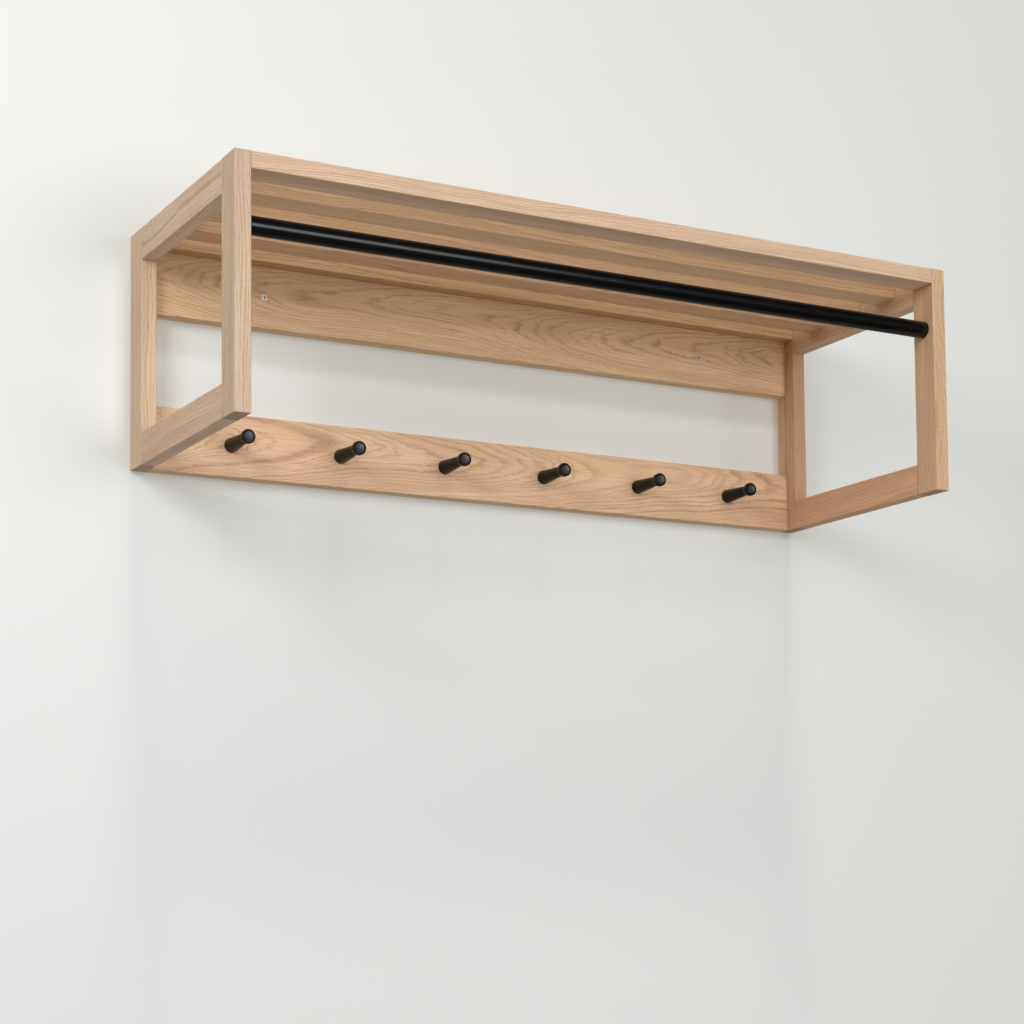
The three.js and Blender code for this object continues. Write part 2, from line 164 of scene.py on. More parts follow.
def make_oak_figure():
    """Oak as it grows: rings round a wandering heart, pores, rays and fibres. X is along the grain."""
    tree, given, made = new_figure("oak figure", ["Taper"])
    grain = given["Grain"]
    along = add(tree, "SeparateXYZ", {"Vector": grain}).outputs["X"]

    # The heart wanders slowly along the trunk, and the rings ripple round it.
    wave = maths(tree, "DIVIDE", along, HEART_WAVE)
    bend = add(tree, "TexNoise", {"W": wave, "Scale": 1.0, "Detail": 1.0}, noise_dimensions="1D")
    bend = vectors(tree, "SUBTRACT", bend.outputs["Color"], (0.5, 0.5, 0.5))
    bend = vectors(tree, "MULTIPLY", bend, (0, 2 * HEART_WANDER, 2 * HEART_WANDER))
    swirl = vectors(tree, "MULTIPLY", grain, RING_RIPPLE_FINENESS)
    swirl = add(tree, "TexNoise", {"Vector": swirl, "Scale": 1.0, "Detail": 2.0})
    swirl = vectors(tree, "SUBTRACT", swirl.outputs["Color"], (0.5, 0.5, 0.5))
    swirl = vectors(tree, "MULTIPLY", swirl, (0, 2 * RING_RIPPLE, 2 * RING_RIPPLE))
    place = vectors(tree, "ADD", vectors(tree, "ADD", grain, bend), swirl)
    place = add(tree, "SeparateXYZ", {"Vector": place}).outputs
    flat = add(tree, "CombineXYZ", {"Y": place["Y"], "Z": place["Z"]}).outputs["Vector"]
    radius = add(tree, "VectorMath", {0: flat}, operation="LENGTH").outputs["Value"]

    # Rings of uneven width, each with a thin dark start that fades into the pale late wood.
    shaken = streaks(tree, grain, 0.028, 0.0055, 3.0)
    tapered = maths(tree, "MULTIPLY", along, given["Taper"])
    shaken = maths(tree, "MULTIPLY_ADD", shaken, 2 * RING_SHAKE, tapered)
    depth = maths(tree, "ADD", radius, shaken)
    uneven = maths(tree, "MULTIPLY", depth, RING_UNEVEN_FINENESS)
    uneven = add(tree, "TexNoise", {"W": uneven, "Scale": 1.0, "Detail": 1.0}, noise_dimensions="1D")
    even = maths(tree, "DIVIDE", depth, RING_WIDTH)
    rings = maths(tree, "MULTIPLY_ADD", uneven.outputs["Fac"], RING_UNEVEN, even)
    phase = maths(tree, "FRACT", rings)
    year = maths(tree, "FLOOR", rings)
    vigour = add(tree, "TexWhiteNoise", {"W": year}, noise_dimensions="1D").outputs["Value"]
    early = maths(tree, "MAXIMUM", fade(tree, phase, 0.0, 0.42, 1.0, 0.0), fade(tree, phase, 0.86, 1.0))
    broken = fade(tree, streaks(tree, grain, 0.045, 0.004, 2.0), 0.25, 0.6, 0.35, 1.0)
    vigour = maths(tree, "MULTIPLY_ADD", vigour, RING_VARIES, 1 - RING_VARIES)
    band = maths(tree, "MULTIPLY", early, vigour)
    band = maths(tree, "MULTIPLY", band, broken)
    decade = maths(tree, "MULTIPLY", depth, DECADE_FINENESS)
    decade = add(tree, "TexNoise", {"W": decade, "Scale": 1.0, "Detail": 2.0}, noise_dimensions="1D")
    decade = fade(tree, decade.outputs["Fac"], 0.35, 0.68)

    # Fibres, pores and rays.
    fibre = fade(tree, streaks(tree, grain, 0.08, 0.0013, 4.0), 0.3, 0.7)
    hair = streaks(tree, grain, 0.02, 0.0004, 1.0)
    pores = fade(tree, streaks(tree, grain, 0.0045, 0.00032, 1.0), 0.57, 0.68)
    pores = maths(tree, "MULTIPLY", pores, maths(tree, "MULTIPLY_ADD", early, 0.75, 0.25))
    turn = maths(tree, "MULTIPLY", maths(tree, "ARCTAN2", place["Y"], place["Z"]), RAY_REACH)
    spokes = add(tree, "CombineXYZ", {"X": along, "Y": turn, "Z": radius}).outputs["Vector"]
    spokes = vectors(tree, "MULTIPLY", spokes, RAY_FINENESS)
    spokes = add(tree, "TexNoise", {"Vector": spokes, "Scale": 1.0, "Detail": 1.0}).outputs["Fac"]
    rays = fade(tree, spokes, 0.62, 0.72)

    # Slow changes of tone from heart to bark and along the trunk.
    warmth = vectors(tree, "MULTIPLY", grain, WARMTH_FINENESS)
    warmth = add(tree, "TexNoise", {"Vector": warmth, "Scale": 1.0, "Detail": 3.0}).outputs["Fac"]
    cloud = fade(tree, streaks(tree, grain, 0.12, 0.014, 3.0), 0.3, 0.75)

    body = tint(tree, maths(tree, "MULTIPLY", fibre, FIBRE_SHADE), OAK_PALE, OAK_MID)
    body = tint(tree, maths(tree, "MULTIPLY", cloud, CLOUD_SHADE), body, OAK_MID)
    body = tint(tree, maths(tree, "MULTIPLY", decade, DECADE_SHADE), body, OAK_MID)
    body = tint(tree, maths(tree, "MULTIPLY", band, RING_SHADE), body, OAK_DARK)
    body = tint(tree, maths(tree, "MULTIPLY", rays, RAY_SHADE), body, OAK_DARK)
    body = tint(tree, maths(tree, "MULTIPLY", pores, PORE_SHADE), body, OAK_PORE)
    toned = tint(tree, fade(tree, warmth, 0.35, 0.65), OAK_STRAW, OAK_ROSY)
    colour = tint(tree, 1.0, body, toned, "MULTIPLY")
    tree.links.new(colour, made["Colour"])

    rough = maths(tree, "MULTIPLY_ADD", band, 0.1, OAK_ROUGHNESS)
    rough = maths(tree, "MULTIPLY_ADD", hair, 0.12, rough)
    rough = maths(tree, "MULTIPLY_ADD", pores, 0.2, rough)
    tree.links.new(rough, made["Roughness"])

    low = maths(tree, "MULTIPLY_ADD", band, -0.3, maths(tree, "MULTIPLY", hair, 0.25))
    tree.links.new(maths(tree, "MULTIPLY_ADD", pores, -1.0, low), made["Height"])
    return tree


oak_figure = make_oak_figure()


def new_finish(name):
    material = bpy.data.materials.new(name)
    material.use_nodes = True
    material.node_tree.nodes.clear()
    return material, material.node_tree


def show(tree, sockets):
    """Ends a material with its shader."""
    shader = add(tree, "BsdfPrincipled", sockets)
    add(tree, "OutputMaterial", {"Surface": shader.outputs["BSDF"]})


def relief(tree, height, distance, strength=1.0):
    sockets = {"Height": height, "Distance": distance, "Strength": strength}
    return add(tree, "Bump", sockets).outputs["Normal"]


def oiled_oak(name, node, runs, heart, start, tone_and_painted_light, taper=0.02):
    """Oak for one piece. It runs along an axis, heart is where the tree's heart lay from the middle
    of the piece, start is how far up the trunk it was cut, and the last tint multiplies this stick's
    colour: partly the stick's own tone and partly painted light, cooler on the left sticks for a cool
    lamp from the left, warmer on the right ones and the slats for warm bounce light, and darker on the
    upper board for painted shade under the slats."""
    material, tree = new_finish(name)
    low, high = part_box(node)
    turn = Euler(TURN_TO_GRAIN[runs])
    seat = -(turn.to_matrix() @ ((low + high) / 2 + Vector(heart)))
    seat.x += start
    coords = add(tree, "TexCoord").outputs
    sockets = {"Vector": coords["Object"], "Location": seat, "Rotation": turn}
    grain = add(tree, "Mapping", sockets).outputs["Vector"]
    figure = add(tree, "Group", node_tree=oak_figure)
    tree.links.new(grain, figure.inputs["Grain"])
    figure.inputs["Taper"].default_value = taper
    facing = add(tree, "VectorMath", {0: coords["Normal"], 1: AXES[runs]}, operation="DOT_PRODUCT")
    end_grain = fade(tree, maths(tree, "ABSOLUTE", facing.outputs["Value"]), 0.6, 0.95)
    colour = tint(tree, end_grain, figure.outputs["Colour"], OAK_END, "MULTIPLY")
    # The stick's last tint: partly its own tone, partly painted light and shade.
    colour = tint(tree, 1.0, colour, tone_and_painted_light, "MULTIPLY")
    sockets = {
        "Base Color": colour,
        "Roughness": maths(tree, "MULTIPLY_ADD", end_grain, END_ROUGHER, figure.outputs["Roughness"]),
        "IOR": 1.5,
        "Normal": relief(tree, figure.outputs["Height"], PORE_DEPTH, 0.7),
    }
    show(tree, sockets)
    return material


def block(low, high):
    """A plain box as the start of a shape."""
    shape = bmesh.new()
    bmesh.ops.create_cube(shape, size=1)
    bmesh.ops.scale(shape, vec=high - low, verts=shape.verts)
    bmesh.ops.translate(shape, vec=(low + high) / 2, verts=shape.verts)
    return shape


def ease(shape, edges, width, steps):
    bmesh.ops.bevel(shape, geom=edges, offset=width, offset_type="OFFSET", segments=steps,
                    profile=0.5, affect="EDGES", material=-1, clamp_overlap=True)


def edges_along(shape, axis):
    """The edges that run along an axis."""
    way = Vector(axis)
    return [e for e in shape.edges if abs((e.verts[0].co - e.verts[1].co).normalized().dot(way)) > 0.99]


def planed(node, runs, cut_edge):
    """A stick or board to its node's size: long arrises eased, ends cut square and just broken."""
    low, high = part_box(node)
    shape = block(low, high)
    ease(shape, edges_along(shape, AXES[runs]), EASED_EDGE, EASED_STEPS)
    axis = "xyz".index(runs)
    ends = [e for e in shape.edges if abs(e.verts[0].co[axis] - e.verts[1].co[axis]) < 1e-7]
    ease(shape, ends, cut_edge, 1)
    return shape


def tenon_shape(node, film=0.0):
    """A loose tenon with round edges, or its slot when grown by the film of glue."""
    low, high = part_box(node)
    grow = Vector((film, film, film))
    low, high = low - grow, high + grow
    size = high - low
    runs = "x" if size.x > size.y else "y"
    shape = block(low, high)
    ease(shape, edges_along(shape, AXES[runs]), min(size) * TENON_ROUND, TENON_STEPS)
    return shape


def spun(outline, at, axis, steps):
    """A turned shape. The outline is a list of (radius, distance along the axis) from the place at."""
    shape = bmesh.new()
    way = Vector(axis)
    out = Vector((0, 0, 1))
    rim = [shape.verts.new(Vector(at) + out * r + way * d) for r, d in outline]
    edges = [shape.edges.new(pair) for pair in zip(rim, rim[1:])]
    bmesh.ops.spin(shape, geom=rim + edges, cent=at, axis=way, dvec=(0, 0, 0), angle=math.tau,
                   steps=steps, use_merge=True, use_duplicate=False)
    bmesh.ops.remove_doubles(shape, verts=shape.verts, dist=1e-6)
    bmesh.ops.recalc_face_normals(shape, faces=shape.faces)
    return shape


def bore_shape(side):
    """The blind bore in a front upright, on the hanging rod's axis."""
    low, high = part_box("hanging_rod")
    middle = (low + high) / 2
    face = low.x if side == "left" else high.x
    outward = -1 if side == "left" else 1
    outline = [(0, -BORE_DEPTH), (BORE_RADIUS, -BORE_DEPTH), (BORE_RADIUS, BORE_DEPTH), (0, BORE_DEPTH)]
    return spun(outline, (face, middle.y, middle.z), (outward, 0, 0), BORE_STEPS)


def as_object(name, shapes):
    """One object from one or more shapes."""
    whole = bmesh.new()
    for shape in shapes:
        part = bpy.data.meshes.new("part")
        shape.to_mesh(part)
        shape.free()
        whole.from_mesh(part)
        bpy.data.meshes.remove(part)
    mesh = bpy.data.meshes.new(name)
    whole.to_mesh(mesh)
    whole.free()
    piece = bpy.data.objects.new(name, mesh)
    bpy.context.scene.collection.objects.link(piece)
    return piece


def carve(piece, cutter, operation="DIFFERENCE"):
    """Cuts one object with another, or joins them, and throws the cutter away."""
    cutting = piece.modifiers.new("cut", "BOOLEAN")
    cutting.operation = operation
    cutting.solver = "EXACT"
    cutting.object = cutter
    shown = bpy.context.evaluated_depsgraph_get()
    cut = bpy.data.meshes.new_from_object(piece.evaluated_get(shown))
    piece.modifiers.clear()
    piece.data = cut
    bpy.data.objects.remove(cutter)


def fit(piece, node, finish):
    """Finishes a piece's surface and puts it in the rack in place of its plain solid."""
    piece.data.materials.clear()
    piece.data.materials.append(finish)
    piece.data.shade_smooth()
    piece.data.set_sharp_from_angle(angle=SHARP_ANGLE)
    even = piece.modifiers.new("even shading", "WEIGHTED_NORMAL")
    even.keep_sharp = True
    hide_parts(node)
    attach(piece, "root")


def timber(name, node, runs, cutters, finish, cut_edge=CUT_EDGE):
    """A stick or board with its slots and holes."""
    piece = as_object(name, [planed(node, runs, cut_edge)])
    carve(piece, as_object("cutter", cutters))
    fit(piece, node, finish)


def upright_joints(side, end):
    tenons = [f"{side}_{end}_top_tenon", f"{side}_{end}_bottom_tenon"]
    if end == "front":
        return tenons + [f"front_rail_{side}_tenon"]
    boards = [f"upper_back_board_{side}_tenon", f"lower_back_board_{side}_tenon"]
    return tenons + [f"shelf_slat_4_{side}_tenon"] + boards


# The last tint is partly painted light: cooler on the left uprights for a cool lamp from the left, warmer
# and pinker on the right ones for warm bounce light.
UPRIGHT_OAK = {
    ("left", "front"): {"heart": (0.055, 0.03, 0), "start": 0.3, "tone_and_painted_light": (0.825, 0.85, 0.935, 1)},
    ("left", "rear"): {"heart": (-0.05, 0.045, 0), "start": 1.7, "tone_and_painted_light": (0.965, 0.98, 1, 1)},
    ("right", "front"): {"heart": (0.03, 0.07, 0), "start": 2.9, "tone_and_painted_light": (0.9, 0.81, 0.75, 1)},
    ("right", "rear"): {"heart": (0.06, -0.04, 0), "start": 4.1, "tone_and_painted_light": (0.9, 0.78, 0.69, 1)},
}

for (side, end), tree_place in UPRIGHT_OAK.items():
    node = f"{side}_{end}_upright"
    cutters = [tenon_shape(joint, GLUE_FILM) for joint in upright_joints(side, end)]
    if end == "front":
        cutters.append(bore_shape(side))
    finish = oiled_oak(f"oak_{node}", node, "z", **tree_place)
    timber(f"oak_{node}", node, "z", cutters, finish)


# ---------------------------------------------------------------------------------------------
# Side rails: the top and bottom sticks of each side frame, cut to length between the uprights and
# glued to them with loose tenons. The top rails also carry the ends of the middle slats.

# The last tint is partly painted light: bluer on the left rails for a cool lamp from the left, warmer and
# pinker on the right rails for warm bounce light.
RAIL_OAK = {
    ("left", "top"): {"heart": (-0.06, 0, 0.035), "start": 5.3, "tone_and_painted_light": (0.98, 1, 1.1, 1)},
    ("left", "bottom"): {"heart": (-0.045, 0, -0.05), "start": 6.2, "tone_and_painted_light": (0.95, 0.91, 0.99, 1)},
    ("right", "top"): {"heart": (0.05, 0, 0.05), "start": 7.4, "tone_and_painted_light": (0.98, 0.92, 0.86, 1)},
    ("right", "bottom"): {"heart": (0.04, 0, -0.045), "start": 8.6, "tone_and_painted_light": (0.92, 0.75, 0.68, 1)},
}

for (side, level), tree_place in RAIL_OAK.items():
    node = f"{side}_{level}_rail"
    joints = [f"{side}_front_{level}_tenon", f"{side}_rear_{level}_tenon"]
    if level == "top":
        joints += [f"shelf_slat_{number}_{side}_tenon" for number in (1, 2, 3)]
    cutters = [tenon_shape(joint, GLUE_FILM) for joint in joints]
    finish = oiled_oak(f"oak_{node}", node, "y", **tree_place)
    timber(f"oak_{node}", node, "y", cutters, finish)


# ---------------------------------------------------------------------------------------------
# Shelf: a front rail between the front uprights and four slats behind it, all lying flat and of the
# same oak stick, with loose tenons in their ends.

FRONT_RAIL_CUT_EDGE = 0.0009
# The slats' last tint is warmer and more orange than the oak alone: partly its own tone, partly painted
# warm bounce light.
SHELF_OAK = {
    "front_rail": {"heart": (0, -0.05, 0.05), "start": 10.1, "tone_and_painted_light": (0.92, 0.91, 0.97, 1)},
    "shelf_slat_1": {"heart": (0, 0.05, -0.055), "start": 11.9, "tone_and_painted_light": (0.96, 0.88, 0.8, 1)},
    "shelf_slat_2": {"heart": (0, -0.06, -0.045), "start": 13.6, "tone_and_painted_light": (0.98, 0.88, 0.8, 1)},
    "shelf_slat_3": {"heart": (0, 0.03, 0.07), "start": 15.4, "tone_and_painted_light": (0.96, 0.86, 0.78, 1)},
    "shelf_slat_4": {"heart": (0, 0.06, -0.04), "start": 17.2, "tone_and_painted_light": (0.95, 0.86, 0.7, 1)},
}

for node, tree_place in SHELF_OAK.items():
    cutters = [tenon_shape(f"{node}_{side}_tenon", GLUE_FILM) for side in SIDES]
    finish = oiled_oak(f"oak_{node}", node, "x", **tree_place)
    cut_edge = FRONT_RAIL_CUT_EDGE if node == "front_rail" else CUT_EDGE
    timber(f"oak_{node}", node, "x", cutters, finish, cut_edge)


# ---------------------------------------------------------------------------------------------
# Back boards: two flat-sawn oak boards, 80 mm high, that span the rear uprights and lie on the wall.
# The upper one is screwed to the wall through two countersunk holes, and the lower one is drilled
# and countersunk from behind for the screws that hold the pegs.

SCREW_ROOM = 0.00025
SCREW_RIM = 0.0003
HOLE_PAST = 0.002
HOLE_STEPS = 48
WALL_SCREW = {"head": 0.0045, "shank": 0.00225, "sink": 0.0034}
PEG_SCREW = {"head": 0.004, "shank": 0.002, "sink": 0.003}


def screw_hole(screw, at, axis, depth):
    """A countersunk hole from its mouth to past the far face of a board."""
    mouth = screw["head"] + SCREW_ROOM
    shank = screw["shank"] + SCREW_ROOM
    sink = screw["sink"] + SCREW_ROOM
    outline = [(0, -HOLE_PAST), (mouth, -HOLE_PAST), (mouth, SCREW_RIM), (shank, sink),
               (shank, depth + HOLE_PAST), (0, depth + HOLE_PAST)]
    return spun(outline, at, axis, HOLE_STEPS)


def middle_of(node):
    low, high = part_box(node)
    return (low + high) / 2


wall_screws = [f"wall_screw_{side}" for side in SIDES]
peg_screws = sorted(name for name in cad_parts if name.startswith("peg_screw_"))
pegs = sorted(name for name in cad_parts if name.startswith("coat_peg_"))
board_low, board_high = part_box("upper_back_board")
board_depth = board_high.y - board_low.y

wall_holes = []
for screw in wall_screws:
    at = middle_of(screw)
    wall_holes.append(screw_hole(WALL_SCREW, (at.x, board_low.y, at.z), (0, 1, 0), board_depth))
peg_holes = []
for screw in peg_screws:
    at = middle_of(screw)
    peg_holes.append(screw_hole(PEG_SCREW, (at.x, board_high.y, at.z), (0, -1, 0), board_depth))

# The upper board's last tint is darker: partly its own tone, partly painted shade for the shadow under
# the slats.
BOARD_OAK = {
    "upper_back_board": {"heart": (0, 0.032, 0.012), "start": 20.75, "taper": -0.06,
                         "tone_and_painted_light": (0.92, 0.88, 0.8, 1)},
    "lower_back_board": {"heart": (0, 0.045, 0.014), "start": 24.4, "taper": 0.06,
                         "tone_and_painted_light": (0.99, 0.93, 0.88, 1)},
}

for node, holes in (("upper_back_board", wall_holes), ("lower_back_board", peg_holes)):
    cutters = [tenon_shape(f"{node}_{side}_tenon", GLUE_FILM) for side in SIDES]
    finish = oiled_oak(f"oak_{node}", node, "x", **BOARD_OAK[node])
    timber(f"oak_{node}", node, "x", cutters + holes, finish)


# ---------------------------------------------------------------------------------------------
# Loose tenons: beech strips with round edges, glued half into each piece of a joint. They are
# sealed inside the joints.

BEECH_PALE = (0.72, 0.51, 0.33, 1)
BEECH_DARK = (0.55, 0.34, 0.19, 1)


def make_beech():
    material, tree = new_finish("beech")
    grain = add(tree, "TexCoord").outputs["Object"]
    fibre = fade(tree, streaks(tree, grain, 0.03, 0.0012, 3.0), 0.3, 0.7)
    fleck = fade(tree, streaks(tree, grain, 0.0025, 0.0005, 1.0), 0.6, 0.7)
    colour = tint(tree, maths(tree, "MULTIPLY", fibre, 0.6), BEECH_PALE, BEECH_DARK)
    colour = tint(tree, maths(tree, "MULTIPLY", fleck, 0.5), colour, BEECH_DARK)
    show(tree, {
        "Base Color": colour,
        "Roughness": maths(tree, "MULTIPLY_ADD", fibre, 0.12, 0.62),
        "Normal": relief(tree, fibre, 0.00008),
    })
    return material


beech = make_beech()
for node in sorted(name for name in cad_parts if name.endswith("_tenon")):
    tenon = as_object(f"beech_{node}", [tenon_shape(node)])
    fit(tenon, node, beech)


# ---------------------------------------------------------------------------------------------
# Hanging rod: a 22 mm steel tube, powder coated satin black, that spans the front uprights. A
# stepped steel spigot in each end carries it in the upright's blind bore.

ROD_WALL = 0.0015
ROD_END_BREAK = 0.0004
ROD_STEPS = 96
SPIGOT_NOSE = 0.005
SPIGOT_BREAK = 0.0005
COAT_BLACK = (0.0035, 0.003, 0.003, 1)
COAT_WORN = (0.02, 0.018, 0.017, 1)
PEEL_FINENESS = 1500.0
SKIN_FINENESS = 60.0
DUST_FINENESS = 420.0


def powder_coat(name, along, rubbed, shine, black, satin):
    """Satin powder coat: a fine orange-peel skin, a little dust, and faint rub marks. Along is how
    fine the rub marks are each way, and satin is the roughness of the clean coat."""
    material, tree = new_finish(name)
    coords = add(tree, "TexCoord").outputs["Object"]
    peel = add(tree, "TexNoise", {"Vector": coords, "Scale": PEEL_FINENESS, "Detail": 1.0}).outputs["Fac"]
    skin = add(tree, "TexNoise", {"Vector": coords, "Scale": SKIN_FINENESS, "Detail": 3.0}).outputs["Fac"]
    drawn = vectors(tree, "MULTIPLY", coords, along)
    rubs = add(tree, "TexNoise", {"Vector": drawn, "Scale": 1.0, "Detail": 3.0}).outputs["Fac"]
    rubs = maths(tree, "MULTIPLY", fade(tree, rubs, 0.55, 0.8), rubbed)
    dust = add(tree, "TexNoise", {"Vector": coords, "Scale": DUST_FINENESS}).outputs["Fac"]
    dust = fade(tree, dust, 0.6, 0.8)
    worn = maths(tree, "ADD", maths(tree, "MULTIPLY", dust, 0.25), rubs)
    rough = maths(tree, "MULTIPLY_ADD", fade(tree, skin, 0.3, 0.7), 0.06, satin)
    show(tree, {
        "Base Color": tint(tree, worn, black, COAT_WORN),
        "Roughness": maths(tree, "MULTIPLY_ADD", rubs, -0.08, rough),
        "IOR": 1.5,
        "Specular IOR Level": shine,
        "Normal": relief(tree, maths(tree, "MULTIPLY_ADD", skin, 2.0, peel), 0.00001, 0.6),
    })
    return material


rod_coat = powder_coat("black_rod_coat", (900, 40, 40), rubbed=0.5, shine=0.36, black=COAT_BLACK,
                       satin=0.18)
rod_low, rod_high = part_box("hanging_rod")
rod_middle = (rod_low + rod_high) / 2
rod_radius = (rod_high.z - rod_low.z) / 2
rod_half = (rod_high.x - rod_low.x) / 2
rod_outline = [
    (rod_radius - ROD_WALL, -rod_half),
    (rod_radius - ROD_END_BREAK, -rod_half),
    (rod_radius, ROD_END_BREAK - rod_half),
    (rod_radius, rod_half - ROD_END_BREAK),
    (rod_radius - ROD_END_BREAK, rod_half),
    (rod_radius - ROD_WALL, rod_half),
    (rod_radius - ROD_WALL, -rod_half),
]
rod = as_object("black_hanging_rod", [spun(rod_outline, rod_middle, (1, 0, 0), ROD_STEPS)])
fit(rod, "hanging_rod", rod_coat)

STEEL_PALE = (0.8, 0.8, 0.79, 1)
STEEL_DULL = (0.6, 0.6, 0.6, 1)


def turned_steel(name, along):
    """Bright zinc on steel, with fine tool lines round the turned shape."""
    material, tree = new_finish(name)
    coords = add(tree, "TexCoord").outputs["Object"]
    lines = vectors(tree, "MULTIPLY", coords, along)
    lines = add(tree, "TexNoise", {"Vector": lines, "Scale": 1.0, "Detail": 2.0}).outputs["Fac"]
    bloom = add(tree, "TexNoise", {"Vector": coords, "Scale": 300.0, "Detail": 3.0}).outputs["Fac"]
    show(tree, {
        "Base Color": tint(tree, fade(tree, bloom, 0.4, 0.7), STEEL_PALE, STEEL_DULL),
        "Metallic": 0.85,
        "Roughness": maths(tree, "MULTIPLY_ADD", bloom, 0.3, 0.25),
        "Normal": relief(tree, lines, 0.00001, 0.5),
    })
    return material


spigot_steel = turned_steel("spigot_steel", (6000, 60, 60))
for side in SIDES:
    node = f"rod_spigot_{side}"
    low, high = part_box(node)
    plug = (high.z - low.z) / 2
    if side == "left":
        outward, face, nose, body = -1, rod_low.x, rod_low.x - low.x, high.x - rod_low.x
    else:
        outward, face, nose, body = 1, rod_high.x, high.x - rod_high.x, rod_high.x - low.x
    outline = [
        (0, -body),
        (plug - SPIGOT_BREAK, -body),
        (plug, SPIGOT_BREAK - body),
        (plug, 0),
        (SPIGOT_NOSE, 0),
        (SPIGOT_NOSE, nose - SPIGOT_BREAK),
        (SPIGOT_NOSE - SPIGOT_BREAK, nose),
        (0, nose),
    ]
    shape = spun(outline, (face, rod_middle.y, rod_middle.z), (outward, 0, 0), BORE_STEPS)
    fit(as_object(f"steel_{node}", [shape]), node, spigot_steel)


# ---------------------------------------------------------------------------------------------
# Coat pegs: turned from bar and powder coated black. Each stands on a wide foot, tapers to a neck,
# and flares to a round head whose face is dished inside a rolled rim. A screw from behind holds it.

PEG_STEPS = 72
PEG_FOOT = 0.0095
PEG_NECK = 0.0065
PEG_HEAD = 0.009
PEG_HEAD_LENGTH = 0.006
PEG_FLARE = 0.007
PEG_FLARE_STEPS = 8
PEG_RIM = 0.0016
PEG_RIM_STEPS = 8
PEG_FOOT_ROUND = 0.0006
PEG_FOOT_STEPS = 4
PEG_DISH = 0.006
PEG_DISH_LIP = 0.0004
PEG_DISH_DEPTH = 0.0011
PEG_DISH_STEPS = 6
PEG_HOLE_DEPTH = 0.018
# The dished face's lighter, bluish grey is partly the face's own finish and partly a painted reflection
# of the bright room in front.
PEG_FACE_GREY_AND_REFLECTION = (0.032, 0.033, 0.043, 1)


def quarter(centre, along, radius, first, last, steps):
    """Points on an arc round a centre, as (radius, distance along) pairs, between two angles in
    degrees."""
    turns = [math.radians(first + (last - first) * i / steps) for i in range(steps + 1)]
    return [(centre + radius * math.cos(a), along + radius * math.sin(a)) for a in turns]


def peg_outline(length):
    """Half the outline of a peg, from the hole in its foot to the middle of its dished face."""
    hole = PEG_SCREW["shank"] + SCREW_ROOM
    head_start = length - PEG_HEAD_LENGTH
    flare_start = head_start - PEG_FLARE
    flare = []
    for i in range(PEG_FLARE_STEPS + 1):
        share = i / PEG_FLARE_STEPS
        flare.append((PEG_NECK + (PEG_HEAD - PEG_NECK) * share ** 2, flare_start + PEG_FLARE * share))
    rim = quarter(PEG_HEAD - PEG_RIM, length - PEG_RIM, PEG_RIM, 0, 90, PEG_RIM_STEPS)
    dish = []
    for i in range(PEG_DISH_STEPS + 1):
        share = 1 - i / PEG_DISH_STEPS
        depth = PEG_DISH_LIP + (PEG_DISH_DEPTH - PEG_DISH_LIP) * (1 - share ** 2)
        dish.append((PEG_DISH * share, length - depth))
    foot = quarter(PEG_FOOT - PEG_FOOT_ROUND, PEG_FOOT_ROUND, PEG_FOOT_ROUND, -90, 0, PEG_FOOT_STEPS)
    hollow = [(0, PEG_HOLE_DEPTH), (hole, PEG_HOLE_DEPTH), (hole, 0)]
    return hollow + foot + flare + rim + [(PEG_DISH, length)] + dish


peg_coat = powder_coat("black_peg_coat", (60, 700, 60), rubbed=0.35, shine=0.2, black=COAT_BLACK,
                       satin=0.3)
# The face coat: black powder coat with a lighter bluish grey, partly a painted reflection.
face_coat_with_painted_reflection = powder_coat("black_peg_face_painted_reflection", (60, 60, 60), rubbed=0.5, shine=0.6, black=PEG_FACE_GREY_AND_REFLECTION,
                        satin=0.34)
for node in pegs:
    low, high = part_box(node)
    at = ((low.x + high.x) / 2, high.y, (low.z + high.z) / 2)
    shape = spun(peg_outline(high.y - low.y), at, (0, -1, 0), PEG_STEPS)
    peg = as_object(f"black_{node}", [shape])
    fit(peg, node, peg_coat)
    # The dished face takes the lighter grey coat, partly a painted reflection.
    peg.data.materials.append(face_coat_with_painted_reflection)
    for face in peg.data.polygons:
        inwards = math.hypot(face.center.x - at[0], face.center.z - at[2])
        if inwards < PEG_DISH and face.center.y < low.y + 2 * PEG_DISH_DEPTH:
            face.material_index = 1


# ---------------------------------------------------------------------------------------------
# Screws: bright zinc-plated, countersunk, with a cross recess and a rolled thread. Two go through
# the upper board into the wall, and one from behind the lower board into each peg's foot.

SCREW_STEPS = 32
THREAD_STEPS = 14
THREAD_PITCH = 0.0021
THREAD_ROOT = 0.7
THREAD_SUNK = 0.9
THREAD_THICK = 0.22
THREAD_SHARE = 0.62
THREAD_RUN_IN = 0.0006
SHANK_PLAIN = 0.86
HEAD_BREAK = 0.0002
POINT_LENGTH = 0.005
POINT_LEAST = 0.2
TIP_RADIUS = 0.0003
RECESS_LENGTH = 0.0054
RECESS_WIDTH = 0.0014
RECESS_DEPTH = 0.003
RECESS_CORE = 0.0013
RECESS_CORE_PAST = 0.0005
RECESS_CORE_STEPS = 16
RECESS_TAPER = 0.45


